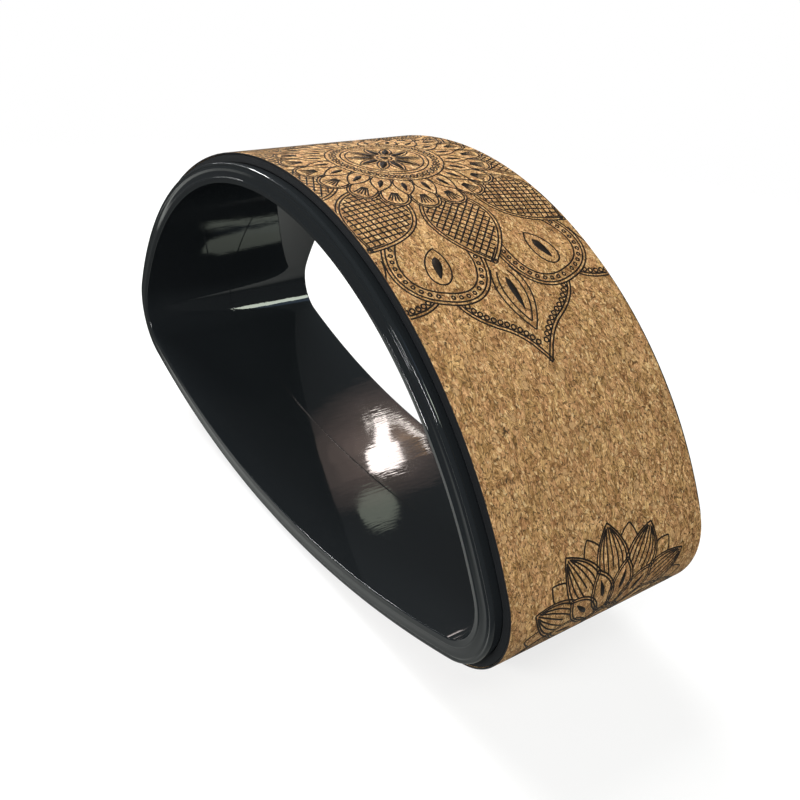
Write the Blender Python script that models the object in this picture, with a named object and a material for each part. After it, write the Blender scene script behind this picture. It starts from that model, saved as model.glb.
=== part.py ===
"""Half yoga wheel, a hollow lens-shaped ring for back stretches and balance work.

Two moulded halves meet in the middle of the width at a lap joint, with ribs between their
inner and outer skins. A foam band and a cork band are wrapped round them, each with a butt
joint underneath, and both halves end in a bare rim that stands out past the bands.

Metres. The origin is on the ground under the middle of the underside. +X runs along the
length, +Y across the width from the front rim to the rear rim, and +Z up. An inset is a
distance inwards from the outside of the cork, and a reach is a distance from mid-width.
"""

import math

import bmesh
import bpy
from mathutils import Matrix, Vector

# Outline of the wheel, measured on the outside of the cork
HEIGHT = 0.234
CROWN_RADIUS = 0.244
UNDERSIDE_RADIUS = 0.580
CORNER_RADIUS = 0.044
REST_FLAT = 0.022

# Bands wrapped round the moulding
BAND_WIDTH = 0.130
CORK_THICKNESS = 0.0010
FOAM_THICKNESS = 0.0045

# Rims, which stand out past the bands
RIM_REACH = 0.0075
RIM_DEPTH = 0.0112
RIM_SHOULDER = 0.0004
BEAD_ROUND = 0.0014
LIP_WIDTH = 0.0037
LIP_HEIGHT = 0.0005
LIP_ROUND = 0.0010

# Walls of the moulded halves
OUTER_SKIN = 0.0025
INNER_SKIN = 0.0027
END_WALL = 0.0026
LAP_LENGTH = 0.0030
RIB_COUNT = 22
RIB_THICKNESS = 0.0018
RIB_SETBACK = 0.0030

# Clearance between pieces that are glued or laid against each other
GLUE_GAP = 0.0003

# Straight pieces that each round stretch is made of
CROWN_STEPS = 32
SHOULDER_STEPS = 4
HEEL_STEPS = 9
UNDERSIDE_STEPS = 8
EDGE_STEPS = 2

# Insets and reaches that follow from the sizes above
FOAM_INSET = CORK_THICKNESS + GLUE_GAP
SEAT_INSET = FOAM_INSET + FOAM_THICKNESS + GLUE_GAP
RIM_INSET = SEAT_INSET - RIM_SHOULDER
OPENING_INSET = RIM_INSET + RIM_DEPTH
HOLLOW_OUTER = SEAT_INSET + OUTER_SKIN
HOLLOW_INNER = OPENING_INSET - INNER_SKIN
BAND_REACH = BAND_WIDTH / 2
LIP_REACH = BAND_REACH + RIM_REACH
FACE_REACH = LIP_REACH - LIP_HEIGHT
HOLLOW_REACH = FACE_REACH - END_WALL
SEAM_REACH = GLUE_GAP / 2

PART_NAME = "half_yoga_wheel"


def clear_scene():
    """Removes every object that the scene holds."""
    for item in list(bpy.data.objects):
        bpy.data.objects.remove(item, do_unlink=True)


def make_collection(name):
    """Adds an empty collection to the scene."""
    collection = bpy.data.collections.new(name)
    bpy.context.scene.collection.children.link(collection)
    return collection


def make_material(name, colour, roughness):
    """Makes a plain surface of one colour."""
    material = bpy.data.materials.new(name)
    material.use_nodes = True
    shader = material.node_tree.nodes["Principled BSDF"]
    shader.inputs["Base Color"].default_value = (*colour, 1.0)
    shader.inputs["Roughness"].default_value = roughness
    shader.inputs["Metallic"].default_value = 0.0
    material.diffuse_color = (*colour, 1.0)
    return material


def arc(centre, radius, start, end, steps):
    """Points round an arc from one angle to another, both ends included."""
    points = []
    for step in range(steps + 1):
        angle = start + (end - start) * step / steps
        points.append(centre + Vector((radius * math.cos(angle), radius * math.sin(angle))))
    return points


def corner_centre(crown, underside):
    """Centre of the right-hand corner, which rolls inside both the crown and the underside."""
    to_crown = CROWN_RADIUS - CORNER_RADIUS
    to_underside = UNDERSIDE_RADIUS - CORNER_RADIUS
    apart = underside.y - crown.y
    rise = (to_crown ** 2 - to_underside ** 2 + apart ** 2) / (2 * apart)
    return crown + Vector((math.sqrt(to_crown ** 2 - rise ** 2), rise))


def wheel_outline():
    """Closed outline of the cork, anticlockwise from the left end of the rest flat."""
    crown = Vector((0, HEIGHT - CROWN_RADIUS))
    underside = Vector((0, math.sqrt(UNDERSIDE_RADIUS ** 2 - (REST_FLAT / 2) ** 2)))
    corner = corner_centre(crown, underside)
    to_corner = corner - underside
    heel_angle = math.atan2(to_corner.y, to_corner.x)
    shoulder_angle = math.atan2(corner.y - crown.y, corner.x - crown.x)
    flat_angle = -math.pi / 2 + math.asin(REST_FLAT / 2 / UNDERSIDE_RADIUS)

    right = arc(underside, UNDERSIDE_RADIUS, flat_angle, heel_angle, UNDERSIDE_STEPS)
    right += arc(corner, CORNER_RADIUS, heel_angle, 0, HEEL_STEPS)[1:]
    right += arc(corner, CORNER_RADIUS, 0, shoulder_angle, SHOULDER_STEPS)[1:]
    right += arc(crown, CROWN_RADIUS, shoulder_angle, math.pi / 2, CROWN_STEPS // 2)[1:]
    left = [Vector((-point.x, point.y)) for point in reversed(right[:-1])]
    return left[-1:] + right + left[:-1]


def strip_outline(outline):
    """Open outline of a band, whose ends meet beside the rest flat with a thin gap."""
    last, first = outline[-1], outline[0]
    joint = (last + first) / 2
    half_gap = (first - last).normalized() * GLUE_GAP / 2
    return [joint + half_gap] + outline + [joint - half_gap]


def poly_curve(name, points, closed):
    """A flat curve of straight pieces."""
    data = bpy.data.curves.new(name, "CURVE")
    data.dimensions = "2D"
    data.fill_mode = "NONE"
    spline = data.splines.new("POLY")
    spline.points.add(len(points) - 1)
    for place, point in zip(spline.points, points):
        place.co = (point[0], point[1], 0, 1)
    spline.use_cyclic_u = closed
    return bpy.data.objects.new(name, data)


def sweep(name, path, closed, section, collection, material):
    """Sweeps a section, given as inset and distance to the front, along a flat path.

    A section lies to the left of a closed path and to the right of an open one, so the
    insets change sign on an open path.
    """
    inwards = 1 if closed else -1
    guide = poly_curve(name + "_section", [(inwards * x, y) for x, y in section], True)
    rail = poly_curve(name + "_path", path, closed)
    collection.objects.link(guide)
    collection.objects.link(rail)
    rail.data.bevel_mode = "OBJECT"
    rail.data.bevel_object = guide
    rail.data.use_fill_caps = not closed
    rail.rotation_euler = (math.pi / 2, 0, 0)
    bpy.context.view_layer.update()

    ready = rail.evaluated_get(bpy.context.evaluated_depsgraph_get())
    mesh = bpy.data.meshes.new_from_object(ready)
    mesh.transform(rail.matrix_world)
    bpy.data.objects.remove(rail, do_unlink=True)
    bpy.data.objects.remove(guide, do_unlink=True)

    work = bmesh.new()
    work.from_mesh(mesh)
    bmesh.ops.remove_doubles(work, verts=work.verts, dist=1e-6)
    bmesh.ops.recalc_face_normals(work, faces=work.faces)
    work.to_mesh(mesh)
    work.free()

    mesh.name = name
    mesh.materials.clear()
    mesh.materials.append(material)
    piece = bpy.data.objects.new(name, mesh)
    collection.objects.link(piece)
    return piece


def round_edge(inset, reach, radius, start, end):
    """Points of a rounded edge round a centre, angles in quarter turns from the inset axis."""
    centre = Vector((inset, reach))
    return arc(centre, radius, start * math.pi / 2, end * math.pi / 2, EDGE_STEPS)


def rim_section():
    """The section both halves share, from the opening round the rim to the foam seat."""
    points = round_edge(OPENING_INSET - LIP_ROUND, LIP_REACH - LIP_ROUND, LIP_ROUND, 0, 1)
    lip_start = OPENING_INSET - LIP_WIDTH
    points += [Vector((lip_start + LIP_HEIGHT, LIP_REACH)), Vector((lip_start, FACE_REACH))]
    points += round_edge(RIM_INSET + BEAD_ROUND, FACE_REACH - BEAD_ROUND, BEAD_ROUND, 1, 2)
    shoulder = BAND_REACH + GLUE_GAP
    points += [Vector((RIM_INSET, shoulder)), Vector((SEAT_INSET, shoulder))]
    return points


def hollow_section(end_reach):
    """The hollow between the skins, out to the end wall and back."""
    return [
        Vector((HOLLOW_OUTER, end_reach)),
        Vector((HOLLOW_OUTER, HOLLOW_REACH)),
        Vector((HOLLOW_INNER, HOLLOW_REACH)),
        Vector((HOLLOW_INNER, end_reach)),
    ]


def front_section():
    """Section of the front half, whose skins end in tongues on the side of the hollow."""
    outer_tongue = HOLLOW_OUTER - (OUTER_SKIN - GLUE_GAP) / 2
    inner_tongue = HOLLOW_INNER + (INNER_SKIN - GLUE_GAP) / 2
    points = [Vector((OPENING_INSET, SEAM_REACH))] + rim_section()
    points += [Vector((SEAT_INSET, SEAM_REACH)), Vector((outer_tongue, SEAM_REACH))]
    points += [Vector((outer_tongue, -LAP_LENGTH))] + hollow_section(-LAP_LENGTH)
    points += [Vector((inner_tongue, -LAP_LENGTH)), Vector((inner_tongue, SEAM_REACH))]
    return points


def rear_section():
    """Section of the rear half, whose skins are rebated to take the tongues."""
    outer_rebate = SEAT_INSET + (OUTER_SKIN - GLUE_GAP) / 2
    inner_rebate = OPENING_INSET - (INNER_SKIN - GLUE_GAP) / 2
    lap_end = LAP_LENGTH + GLUE_GAP
    points = [Vector((OPENING_INSET, SEAM_REACH))] + rim_section()
    points += [Vector((SEAT_INSET, SEAM_REACH)), Vector((outer_rebate, SEAM_REACH))]
    points += [Vector((outer_rebate, lap_end))] + hollow_section(lap_end)
    points += [Vector((inner_rebate, lap_end)), Vector((inner_rebate, SEAM_REACH))]
    return points


def band_section(inset, thickness):
    """Section of a band, a plain rectangle across the width."""
    far = inset + thickness
    return [
        Vector((inset, -BAND_REACH)),
        Vector((far, -BAND_REACH)),
        Vector((far, BAND_REACH)),
        Vector((inset, BAND_REACH)),
    ]


def places_along(outline, count):
    """Evenly spaced places on a closed outline, each with its direction of travel."""
    edges = list(zip(outline, outline[1:] + outline[:1]))
    lengths = [(end - start).length for start, end in edges]
    spacing = sum(lengths) / count
    target = spacing / 2
    walked = 0
    places = []
    for (start, end), length in zip(edges, lengths):
        while target <= walked + length and len(places) < count:
            share = (target - walked) / length
            places.append((start.lerp(end, share), (end - start).normalized()))
            target += spacing
        walked += length
    return places


def make_ribs(name, outline, side, cutters):
    """Ribs of one half as loose boxes, let into both skins and the end wall."""
    near = LAP_LENGTH + GLUE_GAP + RIB_SETBACK
    far = HOLLOW_REACH + END_WALL / 2
    top = HOLLOW_OUTER - OUTER_SKIN / 2
    bottom = HOLLOW_INNER + INNER_SKIN / 2
    work = bmesh.new()
    for place, along in places_along(outline, RIB_COUNT):
        inwards = Vector((-along.y, along.x))
        middle = place + inwards * (top + bottom) / 2
        turn = Matrix((
            (along.x, 0, inwards.x),
            (0, 1, 0),
            (along.y, 0, inwards.y),
        )).to_4x4()
        size = Matrix.Diagonal((RIB_THICKNESS, far - near, bottom - top, 1))
        centre = Matrix.Translation((middle.x, side * (near + far) / 2, middle.y))
        bmesh.ops.create_cube(work, size=1, matrix=centre @ turn @ size)
    bmesh.ops.recalc_face_normals(work, faces=work.faces)
    mesh = bpy.data.meshes.new(name)
    work.to_mesh(mesh)
    work.free()
    ribs = bpy.data.objects.new(name, mesh)
    ribs.hide_render = True
    ribs.display_type = "WIRE"
    cutters.objects.link(ribs)
    return ribs


def make_half(name, section, side, outline, collection, cutters, material):
    """One moulded half, on the front for side -1 and on the rear for side 1."""
    towards_front = [Vector((point.x, -side * point.y)) for point in section]
    half = sweep(name, outline, True, towards_front, collection, material)
    union = half.modifiers.new("ribs", "BOOLEAN")
    union.operation = "UNION"
    union.solver = "EXACT"
    union.object = make_ribs(name + "_ribs", outline, side, cutters)
    return half


def make_band(name, inset, thickness, outline, collection, material):
    """One band, wrapped once round the wheel."""
    section = band_section(inset, thickness)
    return sweep(name, strip_outline(outline), False, section, collection, material)


def build_wheel():
    """Builds the four pieces of the wheel."""
    clear_scene()
    parts = make_collection(PART_NAME)
    cutters = make_collection("cutters")
    shell_black = make_material("gloss_black_abs", (0.008, 0.008, 0.009), 0.12)
    foam_black = make_material("black_foam", (0.014, 0.015, 0.019), 0.90)
    cork_brown = make_material("pressed_cork", (0.36, 0.21, 0.10), 0.75)
    outline = wheel_outline()

    make_half("front_shell", front_section(), -1, outline, parts, cutters, shell_black)
    make_half("rear_shell", rear_section(), 1, outline, parts, cutters, shell_black)
    make_band("foam_band", FOAM_INSET, FOAM_THICKNESS, outline, parts, foam_black)
    make_band("cork_band", 0, CORK_THICKNESS, outline, parts, cork_brown)
    length = 2 * max(point.x for point in outline)
    print(f"length {length:.4f} m, width {2 * LIP_REACH:.4f} m, height {HEIGHT:.4f} m")


build_wheel()
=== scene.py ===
# %% [markdown]
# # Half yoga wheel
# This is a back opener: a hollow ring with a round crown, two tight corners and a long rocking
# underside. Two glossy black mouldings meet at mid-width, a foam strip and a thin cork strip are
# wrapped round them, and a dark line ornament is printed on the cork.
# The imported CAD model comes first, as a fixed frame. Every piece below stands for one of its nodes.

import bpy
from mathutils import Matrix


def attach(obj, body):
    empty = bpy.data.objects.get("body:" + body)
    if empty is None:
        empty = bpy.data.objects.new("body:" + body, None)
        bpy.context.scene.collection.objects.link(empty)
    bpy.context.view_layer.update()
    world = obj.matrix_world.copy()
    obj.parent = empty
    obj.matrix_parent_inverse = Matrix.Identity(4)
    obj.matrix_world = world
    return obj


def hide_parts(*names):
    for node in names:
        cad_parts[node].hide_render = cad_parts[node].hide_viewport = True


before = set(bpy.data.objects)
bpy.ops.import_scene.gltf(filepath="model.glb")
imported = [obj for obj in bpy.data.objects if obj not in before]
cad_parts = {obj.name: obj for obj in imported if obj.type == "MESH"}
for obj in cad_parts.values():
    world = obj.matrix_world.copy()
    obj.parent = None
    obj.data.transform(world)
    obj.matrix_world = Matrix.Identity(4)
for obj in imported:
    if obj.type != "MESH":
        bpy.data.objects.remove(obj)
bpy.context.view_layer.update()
print("CAD nodes:", ", ".join(sorted(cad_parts)))

# %% [markdown]
# ## Camera
# The photograph looks down on the wheel from its front right, close enough for the near corner to
# loom. The place, the turn and the focal length were found by laying the wheel's outline over the
# photograph, so they are given here as plain numbers: three directions and a place, in metres.

# %% Camera
import math

import bmesh
import bpy
from mathutils import Matrix, Quaternion, Vector

CAMERA_PLACE = (0.4251, -0.2824, 0.3519)
CAMERA_RIGHT = (0.5553, 0.8301, 0.0506)
CAMERA_UP = (-0.4258, 0.2316, 0.8747)
FOCAL_LENGTH = 39.05
LENS_SHIFT = (0.01746, -0.00084)

scene = bpy.context.scene
right = Vector(CAMERA_RIGHT).normalized()
back = right.cross(Vector(CAMERA_UP)).normalized()
turn = Matrix((right, back.cross(right), back)).transposed().to_4x4()
camera_data = bpy.data.cameras.new("photo_camera")
camera_data.lens = FOCAL_LENGTH
camera_data.shift_x, camera_data.shift_y = LENS_SHIFT
camera_data.clip_start = 0.01
camera = bpy.data.objects.new("photo_camera", camera_data)
camera.matrix_world = Matrix.Translation(CAMERA_PLACE) @ turn
scene.collection.objects.link(camera)
scene.camera = camera
print(f"camera {math.degrees(math.asin(back.z)):.1f} degrees above the floor")

# %% [markdown]
# ## Colours and nodes
# Colours are picked from photographs as sRGB hex values, but the shader works in linear light, so
# one function converts them. A second one adds any node to a material or to a geometry tree: its
# settings are keywords, and each input is either a value or the socket that feeds it.

# %% Colour and node helpers


def linear(code):
    """Turns an sRGB hex colour into linear red, green, blue and alpha."""
    levels = []
    for start in (1, 3, 5):
        level = int(code[start:start + 2], 16) / 255
        levels.append(level / 12.92 if level < 0.04045 else ((level + 0.055) / 1.055) ** 2.4)
    return (*levels, 1.0)


def add_node(tree, kind, inputs=None, **settings):
    """Adds a node with its settings; each input takes a value or the socket that feeds it."""
    made = tree.nodes.new(kind)
    for name, value in settings.items():
        setattr(made, name, value)
    for key, value in (inputs or {}).items():
        if isinstance(value, bpy.types.NodeSocket):
            tree.links.new(value, made.inputs[key])
        else:
            made.inputs[key].default_value = value
    return made


def new_material(name):
    """An empty material, with its tree and its output node."""
    material = bpy.data.materials.new(name)
    material.use_nodes = True
    tree = material.node_tree
    tree.nodes.clear()
    return material, tree, tree.nodes.new("ShaderNodeOutputMaterial")


print(f"hex 808080 is {linear('#808080')[0]:.3f} in linear light")

# %% [markdown]
# ## Outline of the wheel
# Seen from the side, the wheel is four arcs that run into one another: crown, two corners and
# underside. The CAD solids follow the same arcs in coarse steps. Gloss shows every flat, so the
# visible pieces use about six times as many steps, with points at the same extremes.
# All other surfaces lie at an inset, a distance inwards from the outside of the cork.

# %% Sizes of the outline
# Metres, like every size here unless a comment says otherwise
HEIGHT = 0.234
CROWN_RADIUS = 0.244
UNDERSIDE_RADIUS = 0.580
CORNER_RADIUS = 0.044
REST_FLAT = 0.022

CROWN_STEPS = 112
SHOULDER_STEPS = 16
HEEL_STEPS = 40
UNDERSIDE_STEPS = 64

crown_centre = Vector((0, HEIGHT - CROWN_RADIUS))
underside_centre = Vector((0, math.sqrt(UNDERSIDE_RADIUS ** 2 - (REST_FLAT / 2) ** 2)))


def find_corner():
    """Centre of the right-hand corner, which rolls inside both the crown and the underside."""
    to_crown = CROWN_RADIUS - CORNER_RADIUS
    to_underside = UNDERSIDE_RADIUS - CORNER_RADIUS
    apart = underside_centre.y - crown_centre.y
    rise = (to_crown ** 2 - to_underside ** 2 + apart ** 2) / (2 * apart)
    return crown_centre + Vector((math.sqrt(to_crown ** 2 - rise ** 2), rise))


corner_centre = find_corner()
print(f"corner centre {corner_centre.x:.4f}, {corner_centre.y:.4f}")

# %% Outline as one list of points


def arc(centre, radius, start, end, steps):
    """Points round an arc from one angle to another, both ends included."""
    points = []
    for step in range(steps + 1):
        angle = start + (end - start) * step / steps
        points.append(Vector(centre) + radius * Vector((math.cos(angle), math.sin(angle))))
    return points


def wheel_outline():
    """Closed outline of the cork, anticlockwise from the left end of the rest flat."""
    to_corner = corner_centre - underside_centre
    heel_angle = math.atan2(to_corner.y, to_corner.x)
    to_corner = corner_centre - crown_centre
    shoulder_angle = math.atan2(to_corner.y, to_corner.x)
    flat_angle = -math.pi / 2 + math.asin(REST_FLAT / 2 / UNDERSIDE_RADIUS)

    half = arc(underside_centre, UNDERSIDE_RADIUS, flat_angle, heel_angle, UNDERSIDE_STEPS)
    half += arc(corner_centre, CORNER_RADIUS, heel_angle, 0, HEEL_STEPS)[1:]
    half += arc(corner_centre, CORNER_RADIUS, 0, shoulder_angle, SHOULDER_STEPS)[1:]
    half += arc(crown_centre, CROWN_RADIUS, shoulder_angle, math.pi / 2, CROWN_STEPS)[1:]
    mirrored = [Vector((-point.x, point.y)) for point in reversed(half[:-1])]
    return mirrored[-1:] + half + mirrored[:-1]


outline = wheel_outline()
edges = zip(outline, outline[1:] + outline[:1])
perimeter = sum((end - start).length for start, end in edges)
print(f"{len(outline)} points, {perimeter * 1000:.1f} mm round the cork")

# %% [markdown]
# The two bands are strips, cut to length and wrapped once. Their ends meet under the wheel, a
# little to the left of the flat that it rests on, with a gap as thin as a sheet of card.

# %% Outline of a wrapped strip
GLUE_GAP = 0.0003
JOINT_STEPS = UNDERSIDE_STEPS // 16

joint = outline[-JOINT_STEPS]
half_gap = (outline[1 - JOINT_STEPS] - joint).normalized() * GLUE_GAP / 2
strip_outline = [joint + half_gap] + outline[1 - JOINT_STEPS:] + outline[:-JOINT_STEPS]
strip_outline.append(joint - half_gap)
print(f"the strips meet at x = {joint.x * 1000:.1f} mm")

# %% [markdown]
# ## Sections
# Each moulding and each band is one section carried round the outline, so it is drawn once.
# A section is drawn as inset and reach, the distance from mid-width. Real edges are never sharp,
# and here they make the long highlights on the rims, so each is rounded with a real radius.
# A support point close to either side of a round keeps smooth shading out of the flats.

# %% Sizes across the wheel
BAND_REACH = 0.065
CORK_THICKNESS = 0.0010
FOAM_THICKNESS = 0.0045
INK_THICKNESS = 0.00006

RIM_REACH = 0.0075
RIM_SHOULDER = 0.0004
# The rim's face as inset, drop below the lip and edge round, in millimetres
RIM_FACE = [
    (17.20, 0.55, 0.70),  # edge of the opening
    (14.20, 0.00, 0.25),  # top of the lip
    (13.65, 0.05, 0.30),  # fine groove
    (13.40, 0.34, 0.20),
    (13.15, 0.30, 0.30),
    (10.60, 0.50, 12.0),  # middle of the dished face
    (8.30, 0.35, 0.80),   # crease
    (7.30, 0.80, 0.15),
    (5.74, 0.32, 1.00),   # bead
    (4.95, 1.80, 2.40),   # flank
]

OUTER_SKIN = 0.0025
INNER_SKIN = 0.0027
END_WALL = 0.0031
LAP_LENGTH = 0.0030

FOAM_INSET = CORK_THICKNESS + GLUE_GAP
SEAT_INSET = FOAM_INSET + FOAM_THICKNESS + GLUE_GAP
RIM_INSET = SEAT_INSET - RIM_SHOULDER
OPENING_INSET = RIM_FACE[0][0] / 1000
LIP_REACH = BAND_REACH + RIM_REACH
print(f"opening {OPENING_INSET * 1000:.1f} mm inside the cork, lip at {LIP_REACH * 1000:.1f} mm")

# %% Rounding of a section
SUPPORT = 0.00018
STEP_SIZE = 0.00025


def rounded(corners):
    """A closed section from corners given as inset, reach and edge radius."""
    places = [Vector(corner[:2]) for corner in corners]
    arms = []
    for index, here in enumerate(places):
        to_last = (places[index - 1] - here).normalized()
        to_next = (places[(index + 1) % len(places)] - here).normalized()
        half_opening = to_last.angle(to_next) / 2
        arms.append((to_last, to_next, half_opening, corners[index][2] / math.tan(half_opening)))
    points = []
    for index, here in enumerate(places):
        to_last, to_next, half_opening, cut = arms[index]
        follower = (index + 1) % len(places)
        slack_before = (here - places[index - 1]).length - cut - arms[index - 1][3]
        slack_after = (here - places[follower]).length - cut - arms[follower][3]
        radius = corners[index][2]
        centre = here + (to_last + to_next).normalized() * radius / math.sin(half_opening)
        start = here + to_last * cut - centre
        end = here + to_next * cut - centre
        swing = start.angle_signed(end)
        points.append(centre + start + to_last * min(SUPPORT, slack_before / 3))
        steps = 3 + int(radius / STEP_SIZE)
        for step in range(steps + 1):
            points.append(centre + Matrix.Rotation(-swing * step / steps, 2) @ start)
        points.append(centre + end + to_next * min(SUPPORT, slack_after / 3))
    return points


print(f"support points {SUPPORT * 1000:.2f} mm beside each round")

# %% Sections of the two mouldings
SEAM_ROUND = 0.00022
SHOULDER_ROUND = 0.00015
SEAT_ROUND = 0.0001
HOLLOW_ROUND = 0.0006
TONGUE_ROUND = 0.0002
SEAM_REACH = GLUE_GAP / 2
HOLLOW_OUTER = SEAT_INSET + OUTER_SKIN
HOLLOW_INNER = OPENING_INSET - INNER_SKIN
HOLLOW_REACH = LIP_REACH - END_WALL


def rim_corners():
    """From the parting line inside the opening, round the rim, to the parting line outside."""
    face = [(inset / 1000, LIP_REACH - below / 1000, edge / 1000)
            for inset, below, edge in RIM_FACE]
    shoulder = BAND_REACH + GLUE_GAP
    return [(OPENING_INSET, SEAM_REACH, SEAM_ROUND)] + face + [
        (RIM_INSET, shoulder, SHOULDER_ROUND),
        (SEAT_INSET, shoulder, SEAT_ROUND),
        (SEAT_INSET, SEAM_REACH, SEAM_ROUND),
    ]


def moulding_corners(outer_edge, inner_edge, skin_end):
    """A moulding whose skins end, beside its hollow, in a tongue or behind a rebate."""
    return rim_corners() + [
        (outer_edge, SEAM_REACH, TONGUE_ROUND / 2),
        (outer_edge, skin_end, TONGUE_ROUND),
        (HOLLOW_OUTER, skin_end, TONGUE_ROUND),
        (HOLLOW_OUTER, HOLLOW_REACH, HOLLOW_ROUND),
        (HOLLOW_INNER, HOLLOW_REACH, HOLLOW_ROUND),
        (HOLLOW_INNER, skin_end, TONGUE_ROUND),
        (inner_edge, skin_end, TONGUE_ROUND),
        (inner_edge, SEAM_REACH, TONGUE_ROUND / 2),
    ]


outer_half = (OUTER_SKIN - GLUE_GAP) / 2
inner_half = (INNER_SKIN - GLUE_GAP) / 2
front_corners = moulding_corners(HOLLOW_OUTER - outer_half, HOLLOW_INNER + inner_half, -LAP_LENGTH)
rear_corners = moulding_corners(
    SEAT_INSET + outer_half, OPENING_INSET - inner_half, LAP_LENGTH + GLUE_GAP)
front_section = rounded(front_corners)
rear_section = [Vector((point.x, -point.y)) for point in rounded(rear_corners)]
print(f"{len(front_section)} points round the front section")

# %% Sections of the two bands
FOAM_SETBACK = 0.0001
FOAM_EDGE = 0.0006
CORK_EDGE = 0.00015


def band_corners(inset, far, reach, outer_round, inner_round):
    """A strip's section, with its long edges rounded."""
    return [
        (inset, -reach, outer_round),
        (far, -reach, inner_round),
        (far, reach, inner_round),
        (inset, reach, outer_round),
    ]


foam_section = rounded(band_corners(
    FOAM_INSET, FOAM_INSET + FOAM_THICKNESS, BAND_REACH - FOAM_SETBACK, CORK_EDGE, FOAM_EDGE))
cork_section = rounded(band_corners(
    INK_THICKNESS, CORK_THICKNESS, BAND_REACH, CORK_EDGE, CORK_EDGE))
print(f"foam {FOAM_THICKNESS * 1000:.1f} mm and cork {CORK_THICKNESS * 1000:.1f} mm thick")

# %% [markdown]
# ## Sweeping with Geometry Nodes
# Sections carried along a path are what Curve to Mesh does, so one tree makes all four pieces.
# It lays the outline flat, sweeps the section round it, stands the result up and stores the
# distance along the outline and the distance across it as a UV map in metres. Cork granules and
# printed lines follow that map round the corners without stretching.

# %% Curves that the trees read


def flat_curve(name, lines):
    """A curve object of straight pieces; a point is x, y and, if given, a stroke factor."""
    data = bpy.data.curves.new(name, "CURVE")
    data.dimensions = "3D"
    for line in lines:
        closed = line[0] == line[-1]
        points = line[:-1] if closed else line
        spline = data.splines.new("POLY")
        spline.points.add(len(points) - 1)
        for place, point in zip(spline.points, points):
            place.co = (point[0], point[1], 0, 1)
            place.radius = point[2] if len(point) > 2 else 1
        spline.use_cyclic_u = closed
    made = bpy.data.objects.new(name, data)
    scene.collection.objects.link(made)
    return made


def profile_curve(name, section):
    """A closed section as a curve; Curve to Mesh lays plus x outwards and plus y to the rear."""
    points = [(-point.x, -point.y) for point in section]
    return flat_curve(name, [points + points[:1]])


ring_path = flat_curve("ring_path", [outline + outline[:1]])
strip_path = flat_curve("strip_path", [strip_outline])
print(f"strip of {len(strip_outline)} points")

# %% Tree that sweeps a section round the outline


def new_tree(name, inputs):
    """A geometry tree with named inputs, and the node that gives them."""
    tree = bpy.data.node_groups.new(name, "GeometryNodeTree")
    for label, kind in inputs.items():
        tree.interface.new_socket(label, in_out="INPUT", socket_type="NodeSocket" + kind)
    tree.interface.new_socket("Geometry", in_out="OUTPUT", socket_type="NodeSocketGeometry")
    return tree, tree.nodes.new("NodeGroupInput").outputs


def end_tree(tree, geometry, material):
    """Ends a tree in Realize Instances and Set Material, and hands the result out."""
    real = add_node(tree, "GeometryNodeRealizeInstances", {"Geometry": geometry})
    dressed = add_node(tree, "GeometryNodeSetMaterial", {
        "Geometry": real.outputs["Geometry"], "Material": material})
    add_node(tree, "NodeGroupOutput", {"Geometry": dressed.outputs["Geometry"]})


sweep_tree, given = new_tree("sweep_section_round_outline", {
    "Outline": "Object", "Section": "Object", "Material": "Material"})
rail = add_node(sweep_tree, "GeometryNodeObjectInfo", {"Object": given["Outline"]})
section = add_node(sweep_tree, "GeometryNodeObjectInfo", {"Object": given["Section"]})
level = add_node(sweep_tree, "GeometryNodeSetCurveNormal", {
    "Curve": rail.outputs["Geometry"]}, mode="Z_UP")
walked = add_node(sweep_tree, "GeometryNodeSplineParameter")
marked = add_node(sweep_tree, "GeometryNodeCaptureAttribute")
marked.capture_items.new("FLOAT", "Along")
sweep_tree.links.new(level.outputs["Curve"], marked.inputs["Geometry"])
sweep_tree.links.new(walked.outputs["Length"], marked.inputs["Along"])
swept = add_node(sweep_tree, "GeometryNodeCurveToMesh", {
    "Curve": marked.outputs["Geometry"], "Profile Curve": section.outputs["Geometry"],
    "Fill Caps": True})
upright = add_node(sweep_tree, "GeometryNodeTransform", {
    "Geometry": swept.outputs["Mesh"], "Rotation": (math.pi / 2, 0, 0)})
place = add_node(sweep_tree, "GeometryNodeInputPosition")
across = add_node(sweep_tree, "ShaderNodeSeparateXYZ", {"Vector": place.outputs["Position"]})
pair = add_node(sweep_tree, "ShaderNodeCombineXYZ", {
    "X": marked.outputs["Along"], "Y": across.outputs["Y"]})
mapped = add_node(sweep_tree, "GeometryNodeStoreNamedAttribute", {
    "Geometry": upright.outputs["Geometry"], "Name": "surface", "Value": pair.outputs["Vector"],
}, data_type="FLOAT2", domain="CORNER")
smooth = add_node(sweep_tree, "GeometryNodeSetShadeSmooth", {
    "Geometry": mapped.outputs["Geometry"]})
end_tree(sweep_tree, smooth.outputs["Geometry"], given["Material"])
print(f"sweep tree of {len(sweep_tree.nodes)} nodes")

# %% Running a tree


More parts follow.
